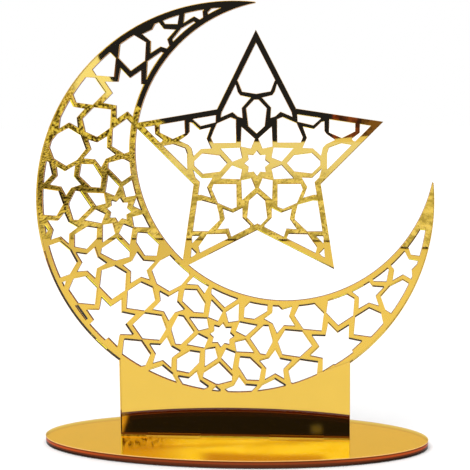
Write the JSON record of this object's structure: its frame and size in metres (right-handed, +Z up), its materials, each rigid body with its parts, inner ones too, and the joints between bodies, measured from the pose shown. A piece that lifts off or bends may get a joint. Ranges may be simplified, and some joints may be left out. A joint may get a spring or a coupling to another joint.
{
  "type": "crescent and star table ornament",
  "caption": "Flat upright ornament: a pierced crescent moon holding a pierced five-pointed star, on a plain stem that slots into an oval base plate.",
  "frame": {"origin": "centre of the base plate's underside, on the surface that the ornament stands on", "axes": "+Z up; the panel stands in the XZ plane and its mirror front faces -Y; +X to the right seen from the front"},
  "size_m": [0.22, 0.086, 0.246],
  "materials": {
    "gold_mirror_acrylic": "gold-tinted clear acrylic that mirrors its surroundings",
    "back_lacquer": "satin protective lacquer over the mirror film"
  },
  "bodies": {
    "base": {"base_plate": "gold_mirror_acrylic", "base_mirror_coat": "back_lacquer"},
    "panel": {"moon_star_panel": "gold_mirror_acrylic", "panel_mirror_coat": "back_lacquer"}
  },
  "joints": [
    {"name": "panel_lift", "type": "slide", "parent": "base", "child": "panel", "axis": [0, 0, 1], "range_m": [0, 0.01]}
  ]
}
